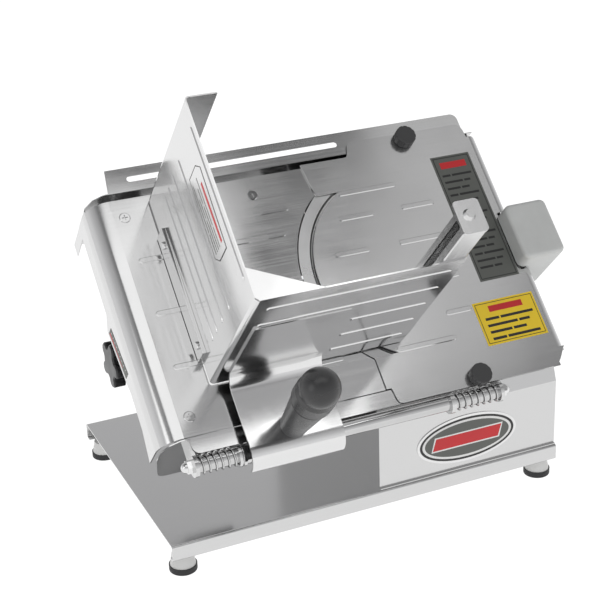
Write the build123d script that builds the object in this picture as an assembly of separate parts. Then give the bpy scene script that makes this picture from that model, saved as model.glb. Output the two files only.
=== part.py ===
from build123d import *
import math
import os

# Deli meat slicer, millimetres, +Z up.
#
# Two sets of coordinates are used while modelling:
#   base coordinates  X right, Y back, Z up, zero at the front left corner of the base plate's top
#   deck coordinates  X right, S up the sloping deck, N square to the deck, with the same zero
# deck() turns a shape drawn in deck coordinates into base coordinates. At the end everything is
# moved so that the bottom centre of the whole machine is the origin.

# ---------------------------------------------------------------- driving dimensions
BASE_L = 450.0            # base plate, along X
BASE_W = 295.0            # base plate, along Y
BASE_FLANGE = 18.0        # depth of the turned-down front and rear edges
BASE_T = 1.5              # base sheet
FOOT_BOTTOM = -38.0       # height of the floor under the base plate's top
FOOT_INSET = 15.0

TILT = 43.65              # slope of the deck
SHEET = 1.2               # casing sheet
DECK_N = 95.0             # level of the gauge plate, rims and blade, square to the deck

HOUSING_X0 = 234.0
HOUSING_Y0 = 5.0
HOUSING_Y1 = 284.0
HOUSING_FRONT_H = 77.0

BLADE_X = 317.0           # blade centre
BLADE_S = 209.0
BLADE_R = 125.0           # a standard 250 mm blade
COVER_R = 109.5           # round edge of the blade cover
GAUGE_CUT_R = 126.5       # round cut-out of the gauge plate
COVER_N = 97.0            # top of the blade cover

ROD_S = 52.0              # slide rod axis
ROD_N = 85.0
ROD_R = 8.0
ROD_X0 = 20.0
ROD_X1 = 362.0
SLEEVE_X0 = 78.0
SLEEVE_X1 = 171.0

TRAY_X = 59.0             # outer face of the carriage's left plate
TRAY_S = 124.0            # outer face of the carriage's front plate
TRAY_RIGHT = 270.0
TRAY_REAR = 336.0
TRAY_BOTTOM = 98.5
TRAY_TOP = 288.0
TRAY_T = 1.5

KNOB_S = 206.0            # regulator axis
KNOB_N = -7.0
GAUGE_DROP = 2.0          # largest slice opening
KNOB_TURN = 270.0         # turn of the regulator that gives it

MOTOR_X = 365.0
MOTOR_S = 150.0
MOTOR_R = 44.0
MOTOR_N0 = -80.0
MOTOR_N1 = 24.0
BLADE_PULLEY_R = 40.0
MOTOR_PULLEY_R = 18.0
BELT_N0 = 31.0
BELT_N1 = 41.0

RUN = 0.05                # radial running clearance of shafts in their bores


# ---------------------------------------------------------------- helpers
def deck(shape):
    return Rot(TILT, 0, 0) * shape


def block(x0, x1, y0, y1, z0, z1):
    centre = ((x0 + x1) / 2, (y0 + y1) / 2, (z0 + z1) / 2)
    return Pos(*centre) * Box(x1 - x0, y1 - y0, z1 - z0)


def post(x, y, z0, z1, r):
    return Pos(x, y, (z0 + z1) / 2) * Cylinder(r, z1 - z0)


def bar(x0, x1, y, z, r):
    return Pos((x0 + x1) / 2, y, z) * Rot(0, 90, 0) * Cylinder(r, x1 - x0)


def slab(points, z0, z1):
    return Pos(0, 0, z0) * extrude(Polygon(*points, align=None), amount=z1 - z0, dir=(0, 0, 1))


def side_slab(points, x0, x1):
    """A plate square to X, from its outline in (Y, Z) or (S, N)."""
    outline = Plane.YZ * Polygon(*points, align=None)
    return Pos(x0, 0, 0) * extrude(outline, amount=x1 - x0, dir=(1, 0, 0))


def section_at(s):
    """Plane for drawing in (X, N), facing down the slope."""
    return Plane(origin=(0, s, 0), x_dir=(1, 0, 0), z_dir=(0, -1, 0))


def bent_along_s(points, radius, sheet, s0, s1):
    """A bent sheet whose middle line is drawn in (X, N) and which runs along S."""
    section = section_at(s1) * trace(FilletPolyline(*points, radius=radius), line_width=sheet)
    return extrude(section, amount=s1 - s0, dir=(0, -1, 0))


def bent_along_x(points, radius, sheet, x0, x1):
    """A bent sheet whose middle line is drawn in (S, N) or (Y, Z) and which runs along X."""
    section = Plane.YZ * trace(FilletPolyline(*points, radius=radius), line_width=sheet)
    return Pos(x0, 0, 0) * extrude(section, amount=x1 - x0, dir=(1, 0, 0))


def fuse(shapes):
    whole = shapes[0]
    for shape in shapes[1:]:
        whole = whole + shape
    return whole


def group(shapes):
    solids = [solid for shape in shapes for solid in shape.solids()]
    return Compound(solids)


BEAD_W = 6.0
BEAD_H = 0.8


def bead(x0, x1, y, z):
    """A pressed stiffening bead on a sheet, along X, with sloping sides."""
    outline = Pos((x0 + x1) / 2, y, z) * SlotOverall(x1 - x0, BEAD_W)
    return extrude(outline, amount=BEAD_H, taper=40)


# ---------------------------------------------------------------- base and feet
def foot_places():
    xs = (FOOT_INSET, BASE_L - FOOT_INSET)
    ys = (FOOT_INSET, BASE_W - FOOT_INSET)
    return [(x, y) for x in xs for y in ys]


def base_plate():
    lip = 8.0
    half = BASE_T / 2
    line = [
        (lip, half - BASE_FLANGE),
        (half, half - BASE_FLANGE),
        (half, -half),
        (BASE_W - half, -half),
        (BASE_W - half, half - BASE_FLANGE),
        (BASE_W - lip, half - BASE_FLANGE),
    ]
    return bent_along_x(line, 2.0, BASE_T, 0, BASE_L)


def foot_cone(x, y):
    profile = [(0, -34.5), (11, -34.5), (11, -31), (13.4, -31), (10.8, -18.2), (5.5, -18.2),
               (5.5, -BASE_T), (0, -BASE_T)]
    solid = revolve(Plane.XZ * Polygon(*profile, align=None), Axis.Z)
    return Pos(x, y, 0) * solid


def foot_ring(x, y):
    cup = post(x, y, FOOT_BOTTOM, -31, 14.5) - post(x, y, -34.5, -30, 11)
    return fillet(cup.edges().filter_by(GeomType.CIRCLE).group_by(Axis.Z)[0], 1.2)


# ---------------------------------------------------------------- motor housing
def housing_outline():
    """Side outline in (Y, Z): upright front, short sloping nose, sloping top under the deck."""
    c, s = math.cos(math.radians(TILT)), math.sin(math.radians(TILT))
    wall_s, floor_n = 75.6, -11.0
    nose = (10.0, 91.0)
    nose_n = -nose[0] * s + nose[1] * c
    meet = (wall_s * c - nose_n * s, wall_s * s + nose_n * c)
    low = (wall_s * c - floor_n * s, wall_s * s + floor_n * c)
    back_s = 350.0
    high = (back_s * c - floor_n * s, back_s * s + floor_n * c)
    return [(HOUSING_Y0, 0), (HOUSING_Y0, HOUSING_FRONT_H), nose, meet, low, high,
            (HOUSING_Y1, high[1] - 9), (HOUSING_Y1, 0)]


def shrink(points, by):
    face = Polygon(*points, align=None)
    return offset(face, amount=-by, kind=Kind.INTERSECTION)


def motor_housing():
    outline = housing_outline()
    solid = side_slab(outline, HOUSING_X0, BASE_L)
    inner = Plane.YZ * shrink(outline, SHEET)
    hollow = extrude(inner, amount=BASE_L - HOUSING_X0 - 2 * SHEET, dir=(1, 0, 0))
    shell = solid - Pos(HOUSING_X0 + SHEET, 0, 0) * hollow
    # the casing is open below, where the base plate closes it, and above, under the deck
    shell -= block(HOUSING_X0 + SHEET, BASE_L - SHEET, HOUSING_Y0 + SHEET, HOUSING_Y1 - SHEET, -1, 5)
    low, high = outline[4], outline[5]
    mouth = [(low[0] + 1, low[1] - 6), (low[0] + 1, low[1] + 6), (high[0] - 2, high[1] + 6),
             (high[0] - 2, high[1] - 6)]
    shell -= side_slab(mouth, HOUSING_X0 + SHEET, BASE_L - SHEET)
    # rear louvres and the holes of the switches and the gland
    for k in range(6):
        shell -= block(265, 335, HOUSING_Y1 - 3, HOUSING_Y1 + 3, 60 + 14 * k, 65 + 14 * k)
    shell -= bar(BASE_L - 3, BASE_L + 3, START_Y, SWITCH_Z, 11.2)
    shell -= bar(BASE_L - 3, BASE_L + 3, STOP_Y, SWITCH_Z, 11.2)
    hole = Pos(GLAND_X, HOUSING_Y1, GLAND_Z) * Rot(90, 0, 0) * Cylinder(8.1, 8)
    shell -= hole
    # thin strip along the foot of the front face
    return shell + block(HOUSING_X0, BASE_L, HOUSING_Y0 - 2.5, HOUSING_Y0, 0, SHEET)


def badge_plate():
    face = Pos(339, 0, 35.5) * extrude(Plane.XZ * Ellipse(60.5, 27.5), amount=1.2)
    return Pos(0, HOUSING_Y0, 0) * face


START_Y, STOP_Y, SWITCH_Z = 70.0, 108.0, 30.0
GLAND_X, GLAND_Z = 400.0, 30.0


def switch_plate():
    plate = block(BASE_L, BASE_L + 1.5, START_Y - 20, STOP_Y + 20, SWITCH_Z - 20, SWITCH_Z + 20)
    plate = fillet(plate.edges().filter_by(Axis.X), 5)
    for y in (START_Y, STOP_Y):
        plate += bar(BASE_L - 16, BASE_L + 5, y, SWITCH_Z, 11.1) + bar(BASE_L, BASE_L + 5, y, SWITCH_Z, 14)
        plate -= bar(BASE_L - 12, BASE_L + 6, y, SWITCH_Z, 9.4)
    return plate


def start_button():
    return bar(BASE_L - 7, BASE_L + 4, START_Y, SWITCH_Z, 9.0)


def stop_button():
    stem = bar(BASE_L - 6, BASE_L + 12, STOP_Y, SWITCH_Z, 9.0)
    head = bar(BASE_L + 10, BASE_L + 17, STOP_Y, SWITCH_Z, 14.5)
    head = fillet(head.edges().filter_by(GeomType.CIRCLE), 2)
    return stem + head


def cable_gland():
    def ring(y0, y1, r):
        return Pos(GLAND_X, (y0 + y1) / 2, GLAND_Z) * Rot(90, 0, 0) * Cylinder(r, y1 - y0)

    hexagon = extrude(Plane.XZ * RegularPolygon(12, 6), amount=6)
    gland = ring(HOUSING_Y1 - 10, HOUSING_Y1 + 8, 8.0)
    gland += Pos(GLAND_X, HOUSING_Y1 + 6, GLAND_Z) * hexagon
    gland += ring(HOUSING_Y1 + 6, HOUSING_Y1 + 14, 9.5)
    return gland - ring(HOUSING_Y1 - 12, HOUSING_Y1 + 16, 4.0)


# ---------------------------------------------------------------- deck frame
def end_relief(s):
    """Cuts the top left corner of a wall to follow the rolled edge of the gauge plate."""
    points = [(-3, 72), (-1.7, 72), (4, 86), (13.6, 93.4), (18, 95), (18, 97), (-3, 97)]
    return extrude(section_at(s + 5) * Polygon(*points, align=None), amount=10, dir=(0, -1, 0))


def deck_frame():
    top = DECK_N
    t = 1.0
    x0, x1 = -1.7, 448.0
    front = block(x0, x1, 76, 76 + t, -10, top) - end_relief(76)
    corner = [(-3, 48), (-1.7, 48), (7, 4), (10, -5), (16, -10), (16, -12), (-3, -12)]
    front -= extrude(section_at(81) * Polygon(*corner, align=None), amount=10, dir=(0, -1, 0))
    front_rim = block(22.6, 437, 60, 76.5, top - t, top)
    near_corner = front_rim.edges().filter_by(Axis.Z).group_by(Axis.X)[0].sort_by(Axis.Y)[0]
    front_rim = fillet(near_corner, 8)
    rear = block(x0, x1, 349, 349 + t, -10, top) - end_relief(349)
    strip = slab([(20, 349.5), (437, 349.5), (437, 376.4), (23.6, 376.4)], top - t, top)
    far_corner = strip.edges().filter_by(Axis.Z).group_by(Axis.X)[-1].sort_by(Axis.Y)[-1]
    strip = fillet(far_corner, 8)
    slot = Pos(164, 362.75, top - t - 1) * extrude(SlotOverall(240, 6.5), amount=3)
    right = block(x1 - t, x1, 76, 350, -10, 84)
    right -= block(x1 - 5, x1 + 5, 172, 248, 42, 90)
    left_tab = block(x0, x0 + t, 336, 350, -10, 68)
    return fuse([front, front_rim, rear, strip - slot, right, left_tab])


def drive_plate():
    """Cross plate, fixed between the front and rear walls, that carries blade and motor."""
    line = [(77.8, 66), (77.8, 50), (348.2, 50), (348.2, 66)]
    plate = bent_along_x(line, 4.0, 1.6, 240, 443)
    plate -= post(BLADE_X, BLADE_S, 40, 60, 24)
    return plate


# ---------------------------------------------------------------- blade and drive
def bearing_housing():
    flange = post(BLADE_X, BLADE_S, 50.8, 57, 40)
    barrel = post(BLADE_X, BLADE_S, 50.8, 83, 26)
    shell = flange + barrel - post(BLADE_X, BLADE_S, 50, 84, 21)
    for k in range(4):
        a = math.radians(45 + 90 * k)
        shell -= post(BLADE_X + 33 * math.cos(a), BLADE_S + 33 * math.sin(a), 50, 58, 2.6)
    return shell


def blade_bearings():
    rings = []
    for n0 in (51.5, 70.5):
        bore = post(BLADE_X, BLADE_S, n0 - 1, n0 + 13, 10 + RUN)
        rings.append(post(BLADE_X, BLADE_S, n0, n0 + 12, 21) - bore)
    return group(rings)


def blade_shaft():
    return post(BLADE_X, BLADE_S, 27, 85, 10)


def blade_hub():
    return post(BLADE_X, BLADE_S, 85, 89.5, 32) + post(BLADE_X, BLADE_S, 89.5, 92, 11)


def blade():
    n = DECK_N
    profile = [(11.05, n - 5.5), (105, n - 5.5), (108, n - 5.5), (119, n - 5.5), (BLADE_R, n - 0.5),
               (BLADE_R, n), (113, n), (111, n - 1.5), (11.05, n - 3)]
    disc = revolve(Plane.XZ * Polygon(*profile, align=None), Axis.Z)
    disc = Pos(BLADE_X, BLADE_S, 0) * disc
    for k in range(3):
        a = math.radians(90 + 120 * k)
        disc -= post(BLADE_X + 22 * math.cos(a), BLADE_S + 22 * math.sin(a), n - 8, n + 1, 2.55)
    return disc


def blade_screws():
    screws = []
    for k in range(3):
        a = math.radians(90 + 120 * k)
        x = BLADE_X + 22 * math.cos(a)
        s = BLADE_S + 22 * math.sin(a)
        screws.append(post(x, s, 89.5, 93, 2.5) + post(x, s, 92.5, 94.8, 4.6))
    return group(screws)


def pulley(x, s, r, bore):
    body = post(x, s, BELT_N0, BELT_N1, r)
    for n0 in (BELT_N0 - 2, BELT_N1):
        body += post(x, s, n0, n0 + 2, r + 2.5)
    return body - post(x, s, BELT_N0 - 3, BELT_N1 + 3, bore)


def drive_belt():
    gap, thick = 0.3, 2.2
    dx, ds = MOTOR_X - BLADE_X, MOTOR_S - BLADE_S
    span = math.hypot(dx, ds)
    lean = math.atan2(ds, dx)
    spread = math.acos((BLADE_PULLEY_R - MOTOR_PULLEY_R) / span)

    def loop(extra, n0, n1):
        big, small = BLADE_PULLEY_R + extra, MOTOR_PULLEY_R + extra
        points = []
        for sign in (1, -1):
            a = lean + sign * spread
            pair = [(BLADE_X + big * math.cos(a), BLADE_S + big * math.sin(a)),
                    (MOTOR_X + small * math.cos(a), MOTOR_S + small * math.sin(a))]
            points += pair if sign == 1 else pair[::-1]
        middle = slab(points, n0, n1)
        return middle + post(BLADE_X, BLADE_S, n0, n1, big) + post(MOTOR_X, MOTOR_S, n0, n1, small)

    outer = loop(gap + thick, BELT_N0 + 0.6, BELT_N1 - 0.6)
    return outer - loop(gap, BELT_N0, BELT_N1)


def motor_body():
    body = post(MOTOR_X, MOTOR_S, MOTOR_N0, MOTOR_N1 - 3, MOTOR_R)
    body = fillet(body.edges().filter_by(GeomType.CIRCLE).group_by(Axis.Z)[0], 6)
    for k in range(18):
        a = math.radians(20 * k)
        rib = block(MOTOR_R - 1, MOTOR_R + 2.5, -1, 1, MOTOR_N0 + 22, MOTOR_N1 - 12)
        body += Pos(MOTOR_X, MOTOR_S, 0) * Rot(0, 0, math.degrees(a)) * rib
    body += post(MOTOR_X, MOTOR_S, MOTOR_N1 - 3, MOTOR_N1, 20)
    return body - post(MOTOR_X, MOTOR_S, MOTOR_N1 - 40, MOTOR_N1 + 1, 6 + RUN)


def motor_shaft():
    return post(MOTOR_X, MOTOR_S, MOTOR_N1 - 39, BELT_N1 + 4, 6)


STANDOFF = 38.0


def motor_mount_plate():
    half = STANDOFF + 8
    plate = block(-half, half, -half, half, MOTOR_N1 - 3, MOTOR_N1)
    plate = fillet(plate.edges().filter_by(Axis.Z), 8)
    plate -= post(0, 0, MOTOR_N1 - 4, MOTOR_N1 + 1, 20)
    lean = math.degrees(math.atan2(MOTOR_S - BLADE_S, MOTOR_X - BLADE_X))
    return Pos(MOTOR_X, MOTOR_S, 0) * Rot(0, 0, lean) * plate


def motor_standoffs():
    lean = math.degrees(math.atan2(MOTOR_S - BLADE_S, MOTOR_X - BLADE_X))
    posts = []
    for sx in (-1, 1):
        for sy in (-1, 1):
            place = Pos(MOTOR_X, MOTOR_S, 0) * Rot(0, 0, lean) * Pos(sx * STANDOFF, sy * STANDOFF, 0)
            posts.append(place * post(0, 0, MOTOR_N1, 49.2, 4.5))
    return group(posts)


# ---------------------------------------------------------------- blade cover
def cover_outline():
    """Flat outline of the cover in (X, S), without the round part over the blade."""
    left = BLADE_X - math.sqrt(COVER_R**2 - (BLADE_S - 113.5) ** 2)
    return [(236, 78), (452, 78), (452, 340), (449, 341), (445, 344), (233, 344), (238, 304.5),
            (left, 304.5), (left + 30, 209), (left, 113.5), (236, 113.5)]


def cover_lip(left, right):
    """A lip of the cover between two S-shaped ends, each a smooth line from the cover outwards."""
    outline = Spline(*left) + Line(left[-1], right[-1]) + Spline(*right) + Line(left[0], right[0])
    return Pos(0, 0, COVER_N - SHEET) * extrude(make_face(outline), amount=SHEET)


def blade_cover():
    mid = COVER_N - SHEET / 2
    sheet = bent_along_s([(190, mid), (450.5 - SHEET / 2, mid), (450.5 - SHEET / 2, 86)], 9.4, SHEET, 78, 344)
    outline = slab(cover_outline(), 80, 100) + post(BLADE_X, BLADE_S, 80, 100, COVER_R)
    cover = sheet & outline
    notch = block(432.5, 460, 174.5, 245.5, 80, 100)
    cover -= fillet(notch.edges().filter_by(Axis.Z).group_by(Axis.X)[0], 6)
    front = cover_lip([(239.6, 80), (242.4, 71), (244.6, 62.2), (251, 60)],
                      [(448.8, 80), (443, 72.5), (436.4, 64.5), (427.5, 60)])
    rear = cover_lip([(282, 342), (290, 347), (294, 358), (303, 361.5)],
                     [(437.5, 342), (437.2, 350), (434.5, 358.5), (427, 361.5)])
    cover = cover + front + rear
    for x, s in COVER_KNOBS:
        cover -= post(x, s, 90, 100, 3.3)
    rows = ((273, 253, 295), (273, 328, 368), (233, 234, 275), (233, 310, 364), (185, 234, 275),
            (185, 310, 364), (144, 253, 295), (144, 331, 362), (302, 262, 332), (116, 262, 332))
    for s, x0, x1 in rows:
        cover += bead(x0, x1, s, COVER_N)
    return cover


COVER_KNOBS = ((339.0, 68.5), (362.0, 354.0))


def cover_studs():
    studs = []
    for x, s in COVER_KNOBS:
        studs.append(post(x, s, DECK_N, COVER_N + 9, 3.0))
    return group(studs)


def cover_knob(place):
    x, s = place
    body = post(x, s, COVER_N + 0.3, COVER_N + 10.3, 11.5)
    for k in range(12):
        a = math.radians(30 * k)
        body -= post(x + 12.2 * math.cos(a), s + 12.2 * math.sin(a), COVER_N - 1, COVER_N + 12, 1.2)
    body = fillet(body.edges().filter_by(GeomType.CIRCLE).group_by(Axis.Z)[-1], 0.8)
    return body - post(x, s, COVER_N - 1, COVER_N + 9.3, 3 + RUN)


def warning_label():
    return block(384, 432, 170, 325, COVER_N, COVER_N + 0.3)


def caution_label():
    return block(363.5, 437, 97.7, 147.5, COVER_N, COVER_N + 0.3)


# ---------------------------------------------------------------- gauge plate and regulator
GAUGE_T = 1.5


def gauge_plate():
    mid = DECK_N - GAUGE_T / 2
    left = -7 + GAUGE_T / 2
    sheet = bent_along_s([(236, mid), (left, mid), (left, 32)], 24.25, GAUGE_T, 78, 341)
    lower_edge = [(70, 20), (70, 38), (110, 50), (150, 50), (164.4, 45.7), (225.2, 34.2), (238, 50),
                  (350, 50), (350, 20)]
    sheet -= side_slab(lower_edge, -10, 0)
    sheet -= post(BLADE_X, BLADE_S, 80, 100, GAUGE_CUT_R)
    for s, x0, x1 in GAUGE_BEADS:
        sheet += bead(x0, x1, s, DECK_N)
    for x, s in GAUGE_SCREWS:
        sheet -= Pos(x, s, DECK_N - GAUGE_T / 2) * Cone(3.0, 5.9, GAUGE_T + 0.02)
    return sheet


GAUGE_SCREWS = tuple((x, s) for x in (29.5, 170.5) for s in (98.0, 320.0))
GAUGE_BEADS = ((269.5, 29.5, 85), (269.5, 100, 151), (269.5, 170, 191), (209.5, 29.5, 85), (209.5, 100, 151),
               (150.5, 29.5, 85), (150.5, 100, 151), (150.5, 170, 191), (298, 172, 204), (122, 172, 204))


def gauge_screws():
    screws = []
    for x, s in GAUGE_SCREWS:
        head = Pos(x, s, DECK_N - GAUGE_T / 2) * Cone(2.9, 5.7, GAUGE_T)
        dome = Pos(x, s, DECK_N) * extrude(Circle(5.7), amount=0.6, taper=45)
        cross = block(x - 3, x + 3, s - 0.55, s + 0.55, DECK_N - 0.8, DECK_N + 1)
        cross += block(x - 0.55, x + 0.55, s - 3, s + 3, DECK_N - 0.8, DECK_N + 1)
        shank = post(x, s, DECK_N - 10, DECK_N - GAUGE_T, 2.5)
        screws.append(head + dome + shank - cross)
    return group(screws)


def gauge_carrier():
    """Two rails under the gauge plate, joined by a bridge that the cam lifts."""
    top = DECK_N - GAUGE_T
    line = [(21, top - 12), (21, top - 1), (189, top - 1), (189, top - 12)]
    frame = fuse([bent_along_s(line, 2.5, 2, s - 9, s + 9) for s in (98, 320)])
    for x in (26, 104):
        frame += block(x - 4, x + 4, 104, 314, top - 12, top)
    frame += block(22, 108, KNOB_S - 10, KNOB_S + 10, top - 24, top - 12)
    frame += block(60, 72, KNOB_S - 6, KNOB_S + 6, CAM_TOP, top - 12)
    for x, s in GUIDE_POSTS:
        frame += post(x, s, top - 22, top - 2, 9) + block(22, 108, s - 5, s + 5, top - 12, top - 2)
    for x, s in GUIDE_POSTS:
        frame -= post(x, s, 0, 100, 5 + RUN)
    for x, s in GAUGE_SCREWS:
        frame -= post(x, s, DECK_N - 14, DECK_N, 2.55)
    return frame


GUIDE_POSTS = ((65.0, 128.0), (65.0, 290.0))
CAM_R = 11.0
CAM_TOP = KNOB_N + CAM_R + 0.3
GUIDE_T = 1.6
GUIDE_N = -19.5           # middle of the cross-member's floor
GUIDE_TOP = GUIDE_N + GUIDE_T / 2


def guide_frame():
    """Cross-member in the deck: two feet on the front and rear walls and a floor with two posts."""
    foot_top = 4
    line = [(77.8, foot_top), (77.8, GUIDE_N), (348.2, GUIDE_N), (348.2, foot_top)]
    return bent_along_x(line, 4.0, GUIDE_T, 40, 90)


def guide_posts():
    return group([post(x, s, GUIDE_TOP, DECK_N - 8, 5) for x, s in GUIDE_POSTS])


def regulator_bracket():
    plates = []
    for x in (24, 84):
        plate = block(x, x + 5, KNOB_S - 12, KNOB_S + 12, GUIDE_TOP, KNOB_N + 10)
        plates.append(plate - bar(x - 1, x + 6, KNOB_S, KNOB_N, 5 + RUN))
    wide = block(20, 40, KNOB_S - 12, KNOB_S + 12, GUIDE_TOP - GUIDE_T, GUIDE_TOP)
    plates[0] = plates[0] + wide
    return group(plates)


def regulator_shaft():
    """Shaft with a spiral cam: its radius falls by the largest slice over the regulator's turn."""
    shaft = bar(12, 95, KNOB_S, KNOB_N, 5)
    points = []
    steps = 30
    for k in range(steps + 1):
        turn = KNOB_TURN * k / steps
        r = CAM_R - GAUGE_DROP * k / steps
        a = math.radians(90 + turn)
        points.append((KNOB_S + r * math.cos(a), KNOB_N + r * math.sin(a)))
    cam = side_slab(points, 61, 71)
    return shaft + cam


def regulator_knob():
    """Star knob with five lobes, drawn in (S, N)."""
    star = Circle(17)
    for k in range(5):
        a = math.radians(72 * k - 4)
        star += Pos(18 * math.cos(a), 18 * math.sin(a)) * Circle(7.5)
    star = fillet(star.vertices(), 3)
    body = extrude(Plane.YZ * star, amount=13)
    body = chamfer(body.faces().sort_by(Axis.X)[0].edges(), 1.5)
    body = Pos(-4.5, KNOB_S, KNOB_N) * body + bar(8, 13.5, KNOB_S, KNOB_N, 9)
    return body - bar(11.5, 15, KNOB_S, KNOB_N, 5)


def dial_label():
    return side_slab([(166, 50), (222, 39.5), (222, 51.5), (166, 62)], -7.3, -7)


# ---------------------------------------------------------------- rod and springs
def slide_rod():
    rod = bar(ROD_X0 + 4, ROD_X1 - 4, ROD_S, ROD_N, ROD_R)
    return rod + bar(ROD_X0 - 8, ROD_X1 + 8, ROD_S, ROD_N, 4)


def rod_brackets():
    lugs = []
    for x in (ROD_X0, ROD_X1 - 4):
        lug = bar(x, x + 4, ROD_S, ROD_N, 11.5) + block(x, x + 4, ROD_S, 76, ROD_N - 11.5, DECK_N - 1.5)
        lug += block(x, x + 16, 73.5, 76, ROD_N - 11.5, DECK_N - 1.5)
        lugs.append(lug - bar(x - 1, x + 5, ROD_S, ROD_N, 4))
    return group(lugs)


def rod_nuts():
    nuts = []
    for x, sign in ((ROD_X0, -1), (ROD_X1, 1)):
        hexagon = extrude(Plane.YZ * RegularPolygon(7, 6), amount=6)
        nut = Pos(x if sign > 0 else x - 6, ROD_S, ROD_N) * hexagon
        dome = Pos(x + sign * 6, ROD_S, ROD_N) * Sphere(5.6)
        nut = nut + dome
        nuts.append(nut - bar(x - 8.02, x + 8.02, ROD_S, ROD_N, 4))
    return group(nuts)


SPRING_WIRE = 0.9
SPRING_R = 9.4
LEFT_SPRING = (ROD_X0 + 4, 65.0)
RIGHT_SPRING = (305.0, ROD_X1 - 4)


def spring(span, coils):
    x0, x1 = span
    length = x1 - x0 - 2 * SPRING_WIRE
    path = Helix(pitch=length / coils, height=length, radius=SPRING_R)
    wire = sweep(Plane(origin=path @ 0, z_dir=path % 0) * Circle(SPRING_WIRE), path=path, is_frenet=True)
    return Pos(x0 + SPRING_WIRE, ROD_S, ROD_N) * Rot(0, 90, 0) * wire


def bumper_washer(x0, x1, r):
    return bar(x0, x1, ROD_S, ROD_N, r) - bar(x0 - 1, x1 + 1, ROD_S, ROD_N, ROD_R + RUN)


# ---------------------------------------------------------------- carriage
def sleeve_bushes():
    rings = []
    for x0 in (SLEEVE_X0, SLEEVE_X1 - 20):
        bore = bar(x0 - 1, x0 + 21, ROD_S, ROD_N, ROD_R + RUN)
        rings.append(bar(x0, x0 + 20, ROD_S, ROD_N, BUSH_R) - bore)
    rings[0] += bumper_washer(65.3, SLEEVE_X0, 10.5)
    for x0 in (65.3, 70):
        rings[0] += bumper_washer(x0, x0 + 3, 12)
    return group(rings)


def carriage_sleeve():
    tube = bar(SLEEVE_X0 + 0.3, SLEEVE_X1, ROD_S, ROD_N, 11.3)
    for x in (SLEEVE_X0 + 12, SLEEVE_X1 - 16):
        tube += block(x, x + 4, ROD_S - 6, ROD_S + 6, ROD_N + 10, HANDLE_PLATE_N)
    return tube - bar(SLEEVE_X0 - 1, SLEEVE_X1 + 1, ROD_S, ROD_N, BUSH_R + RUN)


HANDLE_PLATE_N = 108.5
BUSH_R = 9.6


def carriage_tray():
    """One bent sheet: front plate, rounded corner, left plate and a rear flange."""
    half = TRAY_T / 2
    line = [(TRAY_RIGHT, TRAY_S + half), (TRAY_X + half, TRAY_S + half), (TRAY_X + half, TRAY_REAR),
            (TRAY_X + 33, TRAY_REAR)]
    outline = trace(FilletPolyline(*line, radius=3.5), line_width=TRAY_T)
    tray = Pos(0, 0, TRAY_BOTTOM) * extrude(outline, amount=TRAY_TOP - TRAY_BOTTOM)
    for n in (122, 158, 194, 230, 265):
        front = Pos(0, TRAY_S, 0) * Rot(90, 0, 0) * bead(75 if n > 226 else 180, 262, n, 0)
        tray += front
    for n in (148, 166, 190, 218, 278):
        left = Pos(TRAY_X, 0, 0) * Rot(0, -90, 0) * Rot(0, 0, 90) * bead(150, 310, 0, 0)
        tray += Pos(0, 0, n) * left
    return tray


def corner_gusset():
    t = 1.5
    outline = [(TRAY_X, 158), (TRAY_X, 128), (TRAY_X + 4, TRAY_S), (126.4, TRAY_S)]
    return slab(outline, TRAY_TOP, TRAY_TOP + t)


def side_strip():
    return block(TRAY_X - 4, TRAY_X, 150, 290, TRAY_BOTTOM - 2, TRAY_BOTTOM + 20)


def side_strip_screws():
    screws = []
    for s in (162, 274):
        head = bar(TRAY_X - 6, TRAY_X - 4, s, 111, 4)
        screws.append(fillet(head.edges().filter_by(GeomType.CIRCLE).group_by(Axis.X)[0], 0.8))
    return group(screws)


def handle_plate():
    """Bent bracket: flange on the front plate, shelf above the rod, edge rolled over the sleeve."""
    t = 2.0
    mid = HANDLE_PLATE_N + t / 2
    line = [(TRAY_S - 1, 226), (TRAY_S - 1, mid), (31, mid), (31, 89)]
    section = Plane.YZ * trace(FilletPolyline(*line, radius=18), line_width=t)
    sheet = Pos(73, 0, 0) * extrude(section, amount=98.5)
    return sheet - block(70, 180, TRAY_S - BEAD_H - 0.05, TRAY_S, 90, HANDLE_PLATE_N)


HANDLE_X, HANDLE_S = 122.5, 61.0


def handle():
    n0 = HANDLE_PLATE_N + 2.0
    profile = [(0, n0), (13.5, n0), (19.5, n0 + 64), (18.3, n0 + 65), (18.3, n0 + 67), (20.8, n0 + 68.5),
               (20.8, n0 + 84), (19.4, n0 + 90), (0, n0 + 90)]
    neck = revolve(Plane.XZ * Polygon(*profile, align=None), Axis.Z)
    ball = Pos(0, 0, n0 + 95) * Sphere(20)
    return Pos(HANDLE_X, HANDLE_S, 0) * (neck + ball)


# ---------------------------------------------------------------- product pusher
POST_X0 = 244.0
POST_S0 = TRAY_S + TRAY_T
POST_SIDE = 22.0
POST_TOP = 342.0


def pusher_post():
    tube = block(POST_X0, TRAY_RIGHT, POST_S0, POST_S0 + POST_SIDE, TRAY_BOTTOM + 1, POST_TOP)
    tube = fillet(tube.edges().filter_by(Axis.Z), 2)
    tube -= block(POST_X0 + 2, TRAY_RIGHT - 2, POST_S0 + 2, POST_S0 + POST_SIDE - 2, 90, POST_TOP + 1)
    # slot along the left side
    return tube - block(POST_X0 - 1, POST_X0 + 3, POST_S0 + 7, POST_S0 + 15, TRAY_BOTTOM + 8, POST_TOP + 1)


def post_cap():
    cap = block(POST_X0, TRAY_RIGHT, TRAY_S, 157.5, POST_TOP, POST_TOP + 2.5)
    cap = fillet(cap.edges().filter_by(Axis.Z), 4)
    bolt = post(256, 142, POST_TOP - 12, POST_TOP + 2.5, 3)
    head = Pos(256, 142, POST_TOP + 2.5) * extrude(Circle(6), amount=3.2, taper=30)
    return cap + bolt + head


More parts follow.
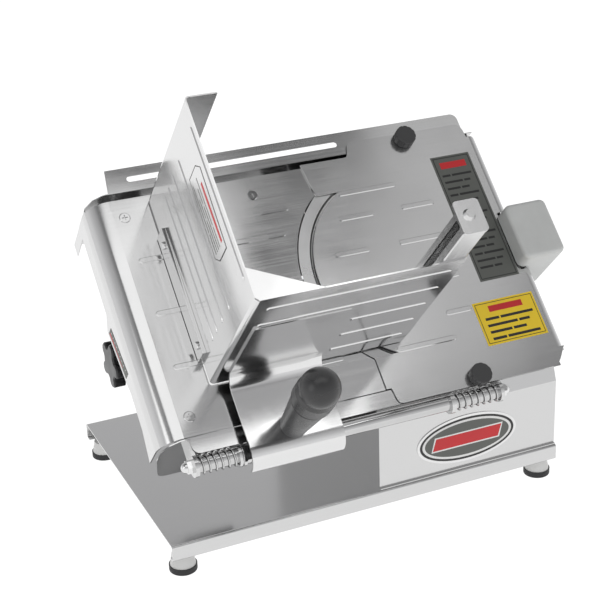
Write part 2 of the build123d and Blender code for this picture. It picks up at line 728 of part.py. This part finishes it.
def presser():
    """Collar on three sides of the post, with a pressing plate reaching over the product."""
    gap = 0.4
    x0, x1 = POST_X0 - gap, TRAY_RIGHT + gap
    s1 = POST_S0 + POST_SIDE + gap
    n0, n1 = TRAY_BOTTOM + 10, TRAY_BOTTOM + 40
    collar = block(x0 - 3, x1 + 3, POST_S0 + gap, s1 + 3, n0, n1) - block(x0, x1, 100, s1, n0 - 1, n1 + 1)
    plate = block(140, x0 - 3, POST_S0 + 4, 196, n0, n0 + 3)
    plate = fillet(plate.edges().filter_by(Axis.Z).group_by(Axis.X)[0], 12)
    rib = block(190, x0 - 3, POST_S0 + 12, POST_S0 + 15, n0, n1 - 8)
    return collar + plate + rib


# ---------------------------------------------------------------- sharpener
SHARP_X0, SHARP_X1 = 434.0, 485.0
SHARP_S0, SHARP_S1 = 177.0, 243.0
SHARP_N0, SHARP_N1 = 45.0, 120.0


def sharpener_housing():
    body = block(SHARP_X0, SHARP_X1, SHARP_S0, SHARP_S1, SHARP_N0, SHARP_N1)
    wedge = Plane(origin=(0, 260, 0), x_dir=(1, 0, 0), z_dir=(0, -1, 0)) * Polygon(
        (SHARP_X0 - 1, COVER_N), (SHARP_X0 - 1, SHARP_N1 + 1), (SHARP_X0 + 12, SHARP_N1 + 1), align=None)
    body -= extrude(wedge, amount=100)
    body = fillet(body.edges().filter_by(Axis.Z), 7)
    top = body.faces().sort_by(Axis.Z)[-1]
    body = fillet(top.edges(), 4.5)
    w = 2.5
    cavity = block(SHARP_X0 + w, SHARP_X1 - w, SHARP_S0 + w, SHARP_S1 - w, SHARP_N0 - 1, 100)
    body -= fillet(cavity.edges().filter_by(Axis.Z), 5)
    body -= block(SHARP_X0 - 1, 444.5, SHARP_S0 - 1, SHARP_S1 + 1, SHARP_N0 - 1, COVER_N + 0.5)
    return body


def sharpener_bracket():
    """Angle plate from the drive plate up into the sharpener, with the two stone spindles."""
    arm = block(425, 470, 199, 219, 50.8, 54)
    arm += block(466, 470, 199, 219, 50.8, 96)
    for s, n0, n1 in ((STONE_S[0], 54, 87), (STONE_S[1], 54, 90)):
        arm += block(441, 470, s - 6, s + 6, 50.8, 54) + post(448, s, 52, n0 + 12, 2.5)
    return arm


STONE_S = (193.0, 227.0)


def stone(k):
    n0, n1 = (60, 84) if k == 0 else (62, 86)
    s = STONE_S[k]
    return post(448, s, n0, n1 - 16, 9) - post(448, s, n0 - 1, n1, 2.5 + RUN)


# ---------------------------------------------------------------- assembly
def build():
    nodes = {
        "base_plate": base_plate(),
        "foot_cones": group([foot_cone(x, y) for x, y in foot_places()]),
        "foot_rings": group([foot_ring(x, y) for x, y in foot_places()]),
        "motor_housing": motor_housing(),
        "badge_plate": badge_plate(),
        "switch_plate": switch_plate(),
        "start_button": start_button(),
        "stop_button": stop_button(),
        "cable_gland": cable_gland(),
    }
    on_deck = {
        "deck_frame": deck_frame(),
        "drive_plate": drive_plate(),
        "bearing_housing": bearing_housing(),
        "blade_bearings": blade_bearings(),
        "blade_shaft": blade_shaft(),
        "blade_hub": blade_hub(),
        "blade": blade(),
        "blade_screws": blade_screws(),
        "blade_pulley": pulley(BLADE_X, BLADE_S, BLADE_PULLEY_R, 10),
        "motor_pulley": pulley(MOTOR_X, MOTOR_S, MOTOR_PULLEY_R, 6),
        "drive_belt": drive_belt(),
        "motor_body": motor_body(),
        "motor_shaft": motor_shaft(),
        "motor_mount_plate": motor_mount_plate(),
        "motor_standoffs": motor_standoffs(),
        "blade_cover": blade_cover(),
        "cover_studs": cover_studs(),
        "front_cover_knob": cover_knob(COVER_KNOBS[0]),
        "rear_cover_knob": cover_knob(COVER_KNOBS[1]),
        "warning_label": warning_label(),
        "caution_label": caution_label(),
        "gauge_plate": gauge_plate(),
        "gauge_screws": gauge_screws(),
        "gauge_carrier": gauge_carrier(),
        "guide_frame": guide_frame(),
        "guide_posts": guide_posts(),
        "regulator_bracket": regulator_bracket(),
        "regulator_shaft": regulator_shaft(),
        "regulator_knob": regulator_knob(),
        "dial_label": dial_label(),
        "slide_rod": slide_rod(),
        "rod_brackets": rod_brackets(),
        "rod_nuts": rod_nuts(),
        "left_spring": spring(LEFT_SPRING, 6),
        "right_spring": spring(RIGHT_SPRING, 7),
        "right_bumper": bumper_washer(300, 305, 11.5),
        "sleeve_bushes": sleeve_bushes(),
        "carriage_sleeve": carriage_sleeve(),
        "carriage_tray": carriage_tray(),
        "corner_gusset": corner_gusset(),
        "side_strip": side_strip(),
        "side_strip_screws": side_strip_screws(),
        "handle_plate": handle_plate(),
        "handle": handle(),
        "pusher_post": pusher_post(),
        "post_cap": post_cap(),
        "presser": presser(),
        "sharpener_housing": sharpener_housing(),
        "sharpener_bracket": sharpener_bracket(),
        "grinding_stone": stone(0),
        "truing_stone": stone(1),
    }
    for name, shape in on_deck.items():
        nodes[name] = deck(shape)
    return nodes


def centred(nodes):
    """Move everything so that the bottom centre of the machine's box is the origin."""
    boxes = [shape.bounding_box() for shape in nodes.values()]
    low = [min(tuple(box.min)[k] for box in boxes) for k in range(3)]
    high = [max(tuple(box.max)[k] for box in boxes) for k in range(3)]
    shift = (-(low[0] + high[0]) / 2, -(low[1] + high[1]) / 2, -low[2])
    print("low", low, "high", high, "shift", shift)
    return {name: Pos(*shift) * shape for name, shape in nodes.items()}


os.makedirs("parts", exist_ok=True)
for node, solid in centred(build()).items():
    export_step(solid, f"parts/{node}.step")
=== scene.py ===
"""Looks of the deli meat slicer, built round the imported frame.

Two sets of axes are used, both in millimetres and both measured from the top front left corner of the
base plate: BASE has x to the right, y to the back and z up, and DECK has x to the right, s up the
sloping deck and n square to it. Each is a matrix that gives metres in the frame's own axes.
"""
import math

import bmesh
import bpy
from mathutils import Matrix, Vector


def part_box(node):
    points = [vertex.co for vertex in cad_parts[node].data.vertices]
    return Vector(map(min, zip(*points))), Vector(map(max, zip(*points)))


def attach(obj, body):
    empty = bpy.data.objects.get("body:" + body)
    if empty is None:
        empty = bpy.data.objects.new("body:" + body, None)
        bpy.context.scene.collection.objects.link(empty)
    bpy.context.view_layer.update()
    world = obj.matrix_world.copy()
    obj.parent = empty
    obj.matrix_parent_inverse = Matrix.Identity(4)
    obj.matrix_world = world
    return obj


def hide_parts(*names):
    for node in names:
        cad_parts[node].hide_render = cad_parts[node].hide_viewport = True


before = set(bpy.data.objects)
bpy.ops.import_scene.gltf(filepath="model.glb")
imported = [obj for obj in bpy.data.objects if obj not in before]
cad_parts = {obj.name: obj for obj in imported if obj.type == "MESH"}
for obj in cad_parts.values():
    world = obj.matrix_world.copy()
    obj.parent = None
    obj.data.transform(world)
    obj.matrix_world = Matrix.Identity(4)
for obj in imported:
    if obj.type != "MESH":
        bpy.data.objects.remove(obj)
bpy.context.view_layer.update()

MM = 0.001
TILT = math.radians(43.65)          # slope of the deck
plate_low, plate_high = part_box("base_plate")
CORNER = Vector((plate_low[0], plate_low[1], plate_high[2]))
BASE = Matrix.Translation(CORNER) @ Matrix.Scale(MM, 4)
DECK = Matrix.Translation(CORNER) @ Matrix.Rotation(TILT, 4, "X") @ Matrix.Scale(MM, 4)

# ---------------------------------------------------------------- camera, floor and light
AZIMUTH = math.radians(-23.481)
ELEVATION = math.radians(23.19)
ROLL = math.radians(-2.107)
LENS = 88.55
SENSOR = 36
EYE = (-374.0, -1202.1, 798.1)      # in BASE axes


def add_camera():
    level = math.cos(ELEVATION)
    look = Vector((-math.sin(AZIMUTH) * level, math.cos(AZIMUTH) * level, -math.sin(ELEVATION)))
    side = Vector((math.cos(AZIMUTH), math.sin(AZIMUTH), 0))
    up = side.cross(look)
    right = side * math.cos(ROLL) + up * math.sin(ROLL)
    above = up * math.cos(ROLL) - side * math.sin(ROLL)
    camera = bpy.data.objects.new("camera", bpy.data.cameras.new("camera"))
    bpy.context.collection.objects.link(camera)
    turn = Matrix((right, above, -look)).transposed().to_4x4()
    camera.matrix_world = Matrix.Translation(BASE @ Vector(EYE)) @ turn
    camera.data.lens = LENS
    camera.data.sensor_width = SENSOR
    bpy.context.scene.camera = camera


# Soft boxes: name, place, the point it faces, width and depth in metres, and watts.
LAMPS = (
    ("overhead", (-0.4, -0.8, 1.9), (-0.4, -0.8, 0), (1.8, 0.9), 5.9),
    ("front_strip", (0.62, -1.02, 1.9), (0.62, -1.02, 0), (0.36, 0.6), 1.3),
    ("over_cover", (1.05, -0.55, 1.9), (1.05, -0.55, 0), (0.45, 0.9), 0.62),
    ("left_fill", (-1.8, -0.6, 0.9), (0, 0, 0.2), (0.8, 1.0), 2.5),
)


def add_lamp(name, place, target, size, watts):
    data = bpy.data.lights.new(name, "AREA")
    data.shape = "RECTANGLE"
    data.size, data.size_y = size
    data.energy = watts
    lamp = bpy.data.objects.new(name, data)
    bpy.context.collection.objects.link(lamp)
    place, target = Vector(place), Vector(target)
    lamp.location = place
    lamp.rotation_euler = (target - place).to_track_quat("-Z", "Y").to_euler()


# The studio's brightness against the sine of the height above the horizon. Below it is as at 0.
SKY = ((0.0, 0.9), (0.2, 0.85), (0.45, 0.62), (0.62, 0.5), (0.78, 0.24), (0.9, 0.17), (1.0, 0.17))
SKY_BLUE = 1.01                     # how much stronger the sky's blue is


def add_sky():
    world = bpy.data.worlds.new("studio")
    bpy.context.scene.world = world
    world.use_nodes = True
    tree = world.node_tree
    tree.nodes.clear()
    out = tree.nodes.new("ShaderNodeOutputWorld")
    back = tree.nodes.new("ShaderNodeBackground")
    coord = tree.nodes.new("ShaderNodeTexCoord")
    split = tree.nodes.new("ShaderNodeSeparateXYZ")
    ramp = tree.nodes.new("ShaderNodeValToRGB")
    ramp.color_ramp.elements[0].position = 0.0
    ramp.color_ramp.elements[1].position = 1.0
    for place, level in SKY[1:-1]:
        ramp.color_ramp.elements.new(place)
    for stop, (place, level) in zip(ramp.color_ramp.elements, SKY):
        stop.color = (level, level, level * SKY_BLUE, 1)
    tree.links.new(coord.outputs["Generated"], split.inputs[0])
    tree.links.new(split.outputs["Z"], ramp.inputs[0])
    tree.links.new(ramp.outputs[0], back.inputs[0])
    back.inputs[1].default_value = 1.0
    tree.links.new(back.outputs[0], out.inputs[0])


FLOOR_HALF = 6                      # half the floor's side, in metres
FLOOR_TONE = 0.25
FLOOR_GLOW = 0.97                   # its own light, so that it stays pale and shadows stay soft


def add_floor():
    mesh = bpy.data.meshes.new("floor")
    floor = bpy.data.objects.new("floor", mesh)
    bpy.context.collection.objects.link(floor)
    bm = bmesh.new()
    bmesh.ops.create_grid(bm, x_segments=1, y_segments=1, size=FLOOR_HALF)
    bm.to_mesh(mesh)
    bm.free()
    material = bpy.data.materials.new("floor_paper")
    material.use_nodes = True
    shader = material.node_tree.nodes["Principled BSDF"]
    shader.inputs["Base Color"].default_value = (FLOOR_TONE, FLOOR_TONE, FLOOR_TONE, 1)
    shader.inputs["Roughness"].default_value = 0.9
    shader.inputs["Emission Color"].default_value = (1, 1, 1, 1)
    shader.inputs["Emission Strength"].default_value = FLOOR_GLOW
    mesh.materials.append(material)


add_camera()
add_sky()
add_floor()
for lamp_row in LAMPS:
    add_lamp(*lamp_row)
bpy.context.scene.view_settings.view_transform = "Standard"


# ---------------------------------------------------------------- materials
def grey(level):
    return (level, level, level)


class Surface:
    """A small builder of one node material round a Principled shader."""

    def __init__(self, name):
        self.material = bpy.data.materials.new(name)
        self.material.use_nodes = True
        self.tree = self.material.node_tree
        self.shader = self.tree.nodes["Principled BSDF"]

    def set(self, **values):
        for key, value in values.items():
            self.shader.inputs[key.replace("_", " ")].default_value = value
        return self

    def link(self, out, into):
        self.tree.links.new(out, into)

    def noise(self, per_metre, detail=3.0, roughness=0.5, tilt=0.0):
        """Noise with so many waves per metre along each of the sheet's own axes, tilted about X."""
        coord = self.tree.nodes.new("ShaderNodeTexCoord")
        turn = self.tree.nodes.new("ShaderNodeMapping")
        turn.inputs["Rotation"].default_value = (-tilt, 0, 0)
        self.link(coord.outputs["Object"], turn.inputs["Vector"])
        stretch = self.tree.nodes.new("ShaderNodeMapping")
        stretch.inputs["Scale"].default_value = per_metre
        self.link(turn.outputs[0], stretch.inputs["Vector"])
        made = self.tree.nodes.new("ShaderNodeTexNoise")
        made.inputs["Scale"].default_value = 1.0
        made.inputs["Detail"].default_value = detail
        made.inputs["Roughness"].default_value = roughness
        self.link(stretch.outputs[0], made.inputs["Vector"])
        return made.outputs["Fac"]

    def ramp(self, value, low, high):
        """Spreads a noise, which lies mostly between 0.3 and 0.7, over low to high."""
        made = self.tree.nodes.new("ShaderNodeMapRange")
        made.inputs["From Min"].default_value = 0.3
        made.inputs["From Max"].default_value = 0.7
        made.inputs["To Min"].default_value = low
        made.inputs["To Max"].default_value = high
        self.link(value, made.inputs["Value"])
        return made.outputs[0]

    def colour(self, factor, dark, light):
        """Base colour that runs from dark to light with a noise."""
        made = self.tree.nodes.new("ShaderNodeMix")
        made.data_type = "RGBA"
        made.inputs["A"].default_value = (*dark, 1)
        made.inputs["B"].default_value = (*light, 1)
        self.link(factor, made.inputs["Factor"])
        self.link(made.outputs["Result"], self.shader.inputs["Base Color"])

    def roughness(self, *parts):
        """Roughness that is one value or the sum of two."""
        total = parts[0]
        for part in parts[1:]:
            made = self.tree.nodes.new("ShaderNodeMath")
            made.operation = "ADD"
            self.link(total, made.inputs[0])
            self.link(part, made.inputs[1])
            total = made.outputs[0]
        self.link(total, self.shader.inputs["Roughness"])

    def bump(self, height, strength, distance, over=None):
        """Relief from a noise, laid over an earlier relief where one is given."""
        made = self.tree.nodes.new("ShaderNodeBump")
        made.inputs["Strength"].default_value = strength
        made.inputs["Distance"].default_value = distance
        self.link(height, made.inputs["Height"])
        if over is not None:
            self.link(over, made.inputs["Normal"])
        self.link(made.outputs[0], self.shader.inputs["Normal"])
        return made.outputs[0]


def sheet_steel(name, tilt, grain, tone, rough, wave):
    """Polished stainless sheet: faint grinding lines, wiped patches and slightly uneven flats.

    The grain is in lines per metre along each axis, so that the lines run along the smallest."""
    s = Surface(name).set(Metallic=1.0)
    lines = s.noise(grain, 4.0, 0.6, tilt)
    cloud = s.noise((9, 9, 9), tilt=tilt)
    dents = s.noise((14, 14, 14), 1.0, tilt=tilt)
    s.colour(lines, grey(tone * 0.97), grey(tone * 1.03))
    s.roughness(s.ramp(lines, rough - 0.03, rough + 0.04), s.ramp(cloud, -0.03, 0.06))
    uneven = s.bump(dents, wave, 0.0012)
    s.bump(lines, 0.012, 0.0002, uneven)
    return s.material


def turned_steel(name, tone, rough):
    """Turned and machined steel with faint rings across X."""
    s = Surface(name).set(Metallic=1.0)
    rings = s.noise((1400, 30, 30))
    s.colour(rings, grey(tone * 0.93), grey(tone * 1.05))
    s.roughness(s.ramp(rings, rough - 0.03, rough + 0.05))
    s.bump(rings, 0.03, 0.0001)
    return s.material


def polished_steel(name, tone, rough):
    """Bright steel with a faint haze."""
    s = Surface(name).set(Metallic=1.0)
    haze = s.noise((30, 30, 30))
    s.colour(haze, grey(tone * 0.92), grey(tone * 1.06))
    s.roughness(s.ramp(haze, rough - 0.04, rough + 0.08))
    return s.material


def plastic(name, colour, rough, grain):
    """Moulded plastic with a fine texture and slightly uneven gloss."""
    s = Surface(name)
    fine = s.noise((2200, 2200, 2200), 2.0)
    cloud = s.noise((40, 40, 40))
    s.colour(cloud, tuple(c * 0.88 for c in colour), tuple(min(1, c * 1.08) for c in colour))
    s.roughness(s.ramp(cloud, rough - 0.05, rough + 0.08))
    s.bump(fine, grain, 0.0001)
    return s.material


def rubber(name, colour):
    """Dull rubber with a fine grain."""
    s = Surface(name)
    fine = s.noise((900, 900, 900))
    s.colour(fine, tuple(c * 0.7 for c in colour), tuple(c * 1.8 for c in colour))
    s.roughness(s.ramp(fine, 0.5, 0.75))
    s.bump(fine, 0.2, 0.0003)
    return s.material


def cast_metal(name, tone):
    """Cast aluminium with a sandy skin."""
    s = Surface(name).set(Metallic=1.0)
    fine = s.noise((500, 500, 500), 4.0)
    s.colour(fine, grey(tone * 0.8), grey(tone * 1.2))
    s.roughness(s.ramp(fine, 0.4, 0.6))
    s.bump(fine, 0.3, 0.0004)
    return s.material


def abrasive(name):
    """Bonded grit of a sharpening stone."""
    s = Surface(name).set(Roughness=0.9)
    grit = s.noise((1500, 1500, 1500))
    s.colour(grit, (0.12, 0.11, 0.1), (0.42, 0.4, 0.36))
    s.bump(grit, 0.8, 0.0005)
    return s.material


STEEL_DECK = sheet_steel("steel_deck", TILT, (5, 900, 900), tone=0.64, rough=0.13, wave=0.22)
STEEL_COVER = sheet_steel("steel_cover", TILT, (12, 1500, 1500), tone=0.62, rough=0.18, wave=0.22)
STEEL_TRAY = sheet_steel("steel_tray", TILT, (60, 60, 900), tone=0.7, rough=0.13, wave=0.45)
STEEL_BASE = sheet_steel("steel_base", 0.0, (12, 1500, 1500), tone=0.6, rough=0.17, wave=0.12)
STEEL_TURNED = turned_steel("steel_turned", 0.62, 0.16)
STEEL_BRIGHT = polished_steel("steel_bright", 0.72, 0.1)
STEEL_BLADE = polished_steel("steel_blade", 0.6, 0.28)
STEEL_ROD = polished_steel("steel_rod", 0.55, 0.05)
ALUMINIUM = cast_metal("cast_aluminium", 0.45)
BLACK = plastic("black_plastic", (0.012, 0.012, 0.013), 0.3, 0.1)
HANDLE = plastic("handle_plastic", (0.03, 0.03, 0.031), 0.27, 0.06)
DARK_GREY = plastic("dark_grey_plastic", (0.045, 0.045, 0.046), 0.42, 0.12)
RUBBER = rubber("black_rubber", (0.012, 0.012, 0.013))
LIGHT_GREY = plastic("light_grey_plastic", (0.55, 0.56, 0.55), 0.42, 0.25)
FOOT_GREY = plastic("foot_plastic", (0.62, 0.62, 0.61), 0.35, 0.1)
GREEN = plastic("green_plastic", (0.02, 0.3, 0.06), 0.25, 0.15)
RED = plastic("red_plastic", (0.5, 0.02, 0.02), 0.25, 0.15)
STONE = abrasive("grinding_grit")
LABEL_GREY = plastic("label_grey", (0.105, 0.11, 0.1), 0.45, 0.05)
LABEL_YELLOW = plastic("label_yellow", (0.85, 0.6, 0.02), 0.4, 0.05)
PRINT_BLACK = plastic("print_black", (0.015, 0.015, 0.015), 0.45, 0.02)
PRINT_RED = plastic("print_red", (0.55, 0.015, 0.02), 0.4, 0.02)
BADGE_WHITE = plastic("badge_white", (0.75, 0.75, 0.74), 0.35, 0.02)

FINISH = (
    (STEEL_DECK, "deck_frame gauge_plate"),
    (STEEL_COVER, "blade_cover"),
    (STEEL_TRAY, "carriage_tray corner_gusset handle_plate presser"),
    (STEEL_BASE, "base_plate motor_housing drive_plate guide_frame"),
    (STEEL_TURNED, """rod_brackets carriage_sleeve pusher_post post_cap blade_shaft blade_hub
        bearing_housing blade_bearings motor_shaft motor_mount_plate motor_standoffs guide_posts
        regulator_shaft regulator_bracket gauge_carrier sharpener_bracket cover_studs right_bumper
        sleeve_bushes side_strip"""),
    (STEEL_BRIGHT, "side_strip_screws blade_screws rod_nuts"),
    (STEEL_BLADE, "blade"),
    (STEEL_ROD, "slide_rod gauge_screws left_spring right_spring"),
    (ALUMINIUM, "motor_body blade_pulley motor_pulley"),
    (BLACK, "regulator_knob cable_gland switch_plate"),
    (DARK_GREY, "front_cover_knob rear_cover_knob"),
    (HANDLE, "handle"),
    (RUBBER, "foot_rings drive_belt"),
    (LIGHT_GREY, "sharpener_housing"),
    (FOOT_GREY, "foot_cones"),
    (STONE, "grinding_stone truing_stone"),
    (GREEN, "start_button"),
    (RED, "stop_button"),
)

# Sheet, coils and pressed work keep the CAD's own edges. The other nodes get a fine rounding.
SHARP = set("""deck_frame gauge_plate blade_cover base_plate motor_housing carriage_tray handle_plate
    corner_gusset drive_plate guide_frame left_spring right_spring gauge_screws post_cap rod_nuts
    slide_rod blade drive_belt motor_body rod_brackets foot_cones foot_rings gauge_carrier
    sleeve_bushes right_bumper carriage_sleeve presser stop_button switch_plate sharpener_housing
    pusher_post handle""".split())
EDGE = 0.35 * MM                    # width of that rounding
SHARP_ANGLE = math.radians(35)      # edges that turn by more than this get it
WELD = 0.01 * MM                    # points nearer than this are one


def dress(piece, material, rounded):
    """Gives a CAD node's object its material and, where asked, a fine rounding of its sharp edges."""
    piece.data.materials.clear()
    piece.data.materials.append(material)
    if rounded:
        weld = piece.modifiers.new("weld", "WELD")
        weld.merge_threshold = WELD
        bevel = piece.modifiers.new("edges", "BEVEL")
        bevel.width = EDGE
        bevel.segments = 2
        bevel.limit_method = "ANGLE"
        bevel.angle_limit = SHARP_ANGLE
        bevel.harden_normals = True


for material, names in FINISH:
    for node in names.split():
        dress(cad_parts[node], material, node not in SHARP)


# ---------------------------------------------------------------- printed labels and the badge
PRINT = 0.05                        # thickness of a printed layer
LABEL = 0.3                         # thickness of the two labels on the blade cover


def facing_left(x):
    """A plane square to X whose own axes run up the deck and away from it."""
    return DECK @ Matrix(((0, 0, -1, x), (1, 0, 0, 0), (0, 1, 0, 0), (0, 0, 0, 1)))


COVER_TOP = 97                      # upper face of the blade cover, along n
LEFT_PLATE = 59                     # outer face of the carriage's left plate, along x
TAB = -7                            # outer face of the gauge plate's left tab, along x
HOUSING_FRONT = 5                   # front face of the motor housing, along y
ON_COVER = DECK @ Matrix.Translation((0, 0, COVER_TOP))
ON_LEFT_PLATE = facing_left(LEFT_PLATE)
ON_TAB = facing_left(TAB)
ON_FRONT = BASE @ Matrix(((1, 0, 0, 0), (0, 0, -1, HOUSING_FRONT), (0, 1, 0, 0), (0, 0, 0, 1)))


def box_outline(u0, u1, v0, v1):
    return [(u0, v0), (u1, v0), (u1, v1), (u0, v1)]


OVAL_STEPS = 72


def oval(u, v, ru, rv):
    turns = [2 * math.pi * k / OVAL_STEPS for k in range(OVAL_STEPS)]
    return [(u + ru * math.cos(a), v + rv * math.sin(a)) for a in turns]


def layered(name, place, layers):
    """One piece made of flat layers (material, outline, bottom, top) standing on a plane of the machine."""
    bm = bmesh.new()
    materials = []
    for material, outline, low, high in layers:
        if material not in materials:
            materials.append(material)
        floor = [bm.verts.new(place @ Vector((u, v, low))) for u, v in outline]
        roof = [bm.verts.new(place @ Vector((u, v, high))) for u, v in outline]
        faces = [bm.faces.new(roof), bm.faces.new(floor[::-1])]
        for k in range(len(outline)):
            n = (k + 1) % len(outline)
            faces.append(bm.faces.new((floor[k], floor[n], roof[n], roof[k])))
        for face in faces:
            face.material_index = materials.index(material)
    bmesh.ops.recalc_face_normals(bm, faces=bm.faces)
    mesh = bpy.data.meshes.new(name)
    bm.to_mesh(mesh)
    bm.free()
    for material in materials:
        mesh.materials.append(material)
    piece = bpy.data.objects.new(name, mesh)
    bpy.context.collection.objects.link(piece)
    return piece


def printed(ink, outline, level):
    """One printed layer on whatever ends at this level."""
    return (ink, outline, level, level + PRINT)


def frame_lines(u0, u1, v0, v1, width, level, ink):
    """Four thin printed lines round a rectangle."""
    sides = ((u0, u1, v0, v0 + width), (u0, u1, v1 - width, v1),
             (u0, u0 + width, v0, v1), (u1 - width, u1, v0, v1))
    return [printed(ink, box_outline(*side), level) for side in sides]


def text_bars(u0, u1, rows, height, level, ink):
    """Plain bars in place of lines of text. In turn, rows break at three points and end at three."""
    layers = []
    width = u1 - u0
    for k, v in enumerate(rows):
        split = u0 + width * (0.3 + 0.17 * (k * 2 % 3))
        end = u1 - width * 0.12 * (k % 3)
        for left, right in ((u0, split - 1), (split + 1, end)):
            layers.append(printed(ink, box_outline(left, right, v, v + height), level))
    return layers


def warning_label():
    """Tall grey label beside the sharpener."""
    layers = [(LABEL_GREY, box_outline(384, 432, 170, 325), 0, LABEL)]
    layers += frame_lines(386, 430, 172, 323, 0.9, LABEL, PRINT_BLACK)
    layers += [printed(PRINT_RED, box_outline(392, 424, 309, 317), LABEL)]
    layers += text_bars(390, 426, [299 - 8.2 * k for k in range(15)], 2.6, LABEL, PRINT_BLACK)
    return layered("warning_label_print", ON_COVER, layers)


def caution_label():
    """Yellow label near the front of the blade cover."""
    layers = [(LABEL_YELLOW, box_outline(363.5, 437, 97.7, 147.5), 0, LABEL)]
    layers += frame_lines(365.5, 435, 99.7, 145.5, 0.7, LABEL, PRINT_BLACK)
    layers += [printed(PRINT_RED, box_outline(380, 421, 134.5, 141.5), LABEL)]
    layers += text_bars(372, 430, [125.5 - 7.6 * k for k in range(4)], 3, LABEL, PRINT_BLACK)
    return layered("caution_label_print", ON_COVER, layers)


def side_label():
    """Long six-sided label low on the carriage's left plate."""
    rim = 0.15                      # thickness of the black rim, which the face stands on
    face = rim + PRINT

    def ring(inset):
        return [(190 + inset, 238), (198, 227 + inset), (281 - inset, 231 + inset), (281 - inset, 258),
                (273, 269 - inset), (190 + inset, 265 - inset)]

    layers = [(PRINT_BLACK, ring(0), 0, rim), printed(STEEL_TRAY, ring(1.2), rim)]
    layers += [printed(PRINT_RED, box_outline(200, 262, 256, 260.5), face)]
    layers += text_bars(199, 272, [249 - 5 * k for k in range(4)], 1.6, face, LABEL_GREY)
    return layered("side_label_print", ON_LEFT_PLATE, layers)


def dial_label():
    """Sloping grey label on the gauge plate's left tab, with nine plain dial marks."""
    face = 0.25                     # the label's thickness
    s0, s1 = 166, 222
    low, high, drop = 50, 62, 10.5  # heights at the front end, and how much lower the rear end is
    layers = [(LABEL_GREY, [(s0, low), (s1, low - drop), (s1, high - drop), (s0, high)], 0, face)]
    layers += [printed(PRINT_RED, [(178, 49.5), (220, 41.6), (220, 45), (178, 50.4)], face)]
    for k in range(9):
        s = 172 + 5.6 * k
        top = high - 2.5 - drop * (s - s0) / (s1 - s0)
        layers += [printed(BADGE_WHITE, box_outline(s, s + 0.7, top - 2.5, top), face)]
    return layered("dial_label_print", ON_TAB, layers)


def badge():
    """Oval plate on the motor housing: a bright rim, three printed ovals and a plain slanted band."""
    middle = (339, 35.5)
    rim = 0.9                       # thickness of the plate under its print
    layers = [(STEEL_BRIGHT, oval(*middle, 60.5, 27.5), 0, rim)]
    prints = [(PRINT_BLACK, oval(*middle, 57.5, 24.8)),
              (BADGE_WHITE, oval(*middle, 54.5, 22.2)),
              (LABEL_GREY, oval(*middle, 51.5, 19.6))]
    for ink, shift in ((BADGE_WHITE, 1.6), (PRINT_RED, 0)):
        prints.append((ink, [(297 - shift, 28.5 - shift), (377 + shift, 28.5 - shift),
                             (381 + shift, 42.5 + shift), (301 - shift, 42.5 + shift)]))
    layers += [printed(ink, outline, rim + k * PRINT) for k, (ink, outline) in enumerate(prints)]
    return layered("badge_print", ON_FRONT, layers)


for piece, body, node, finish in ((warning_label(), "machine", "warning_label", "grey_label"),
                                  (caution_label(), "machine", "caution_label", "yellow_label"),
                                  (dial_label(), "gauge", "dial_label", "grey_label"),
                                  (badge(), "machine", "badge_plate", "badge"),
                                  (side_label(), "carriage", None, "grey_label")):
    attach(piece, body)
    if node:
        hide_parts(node)
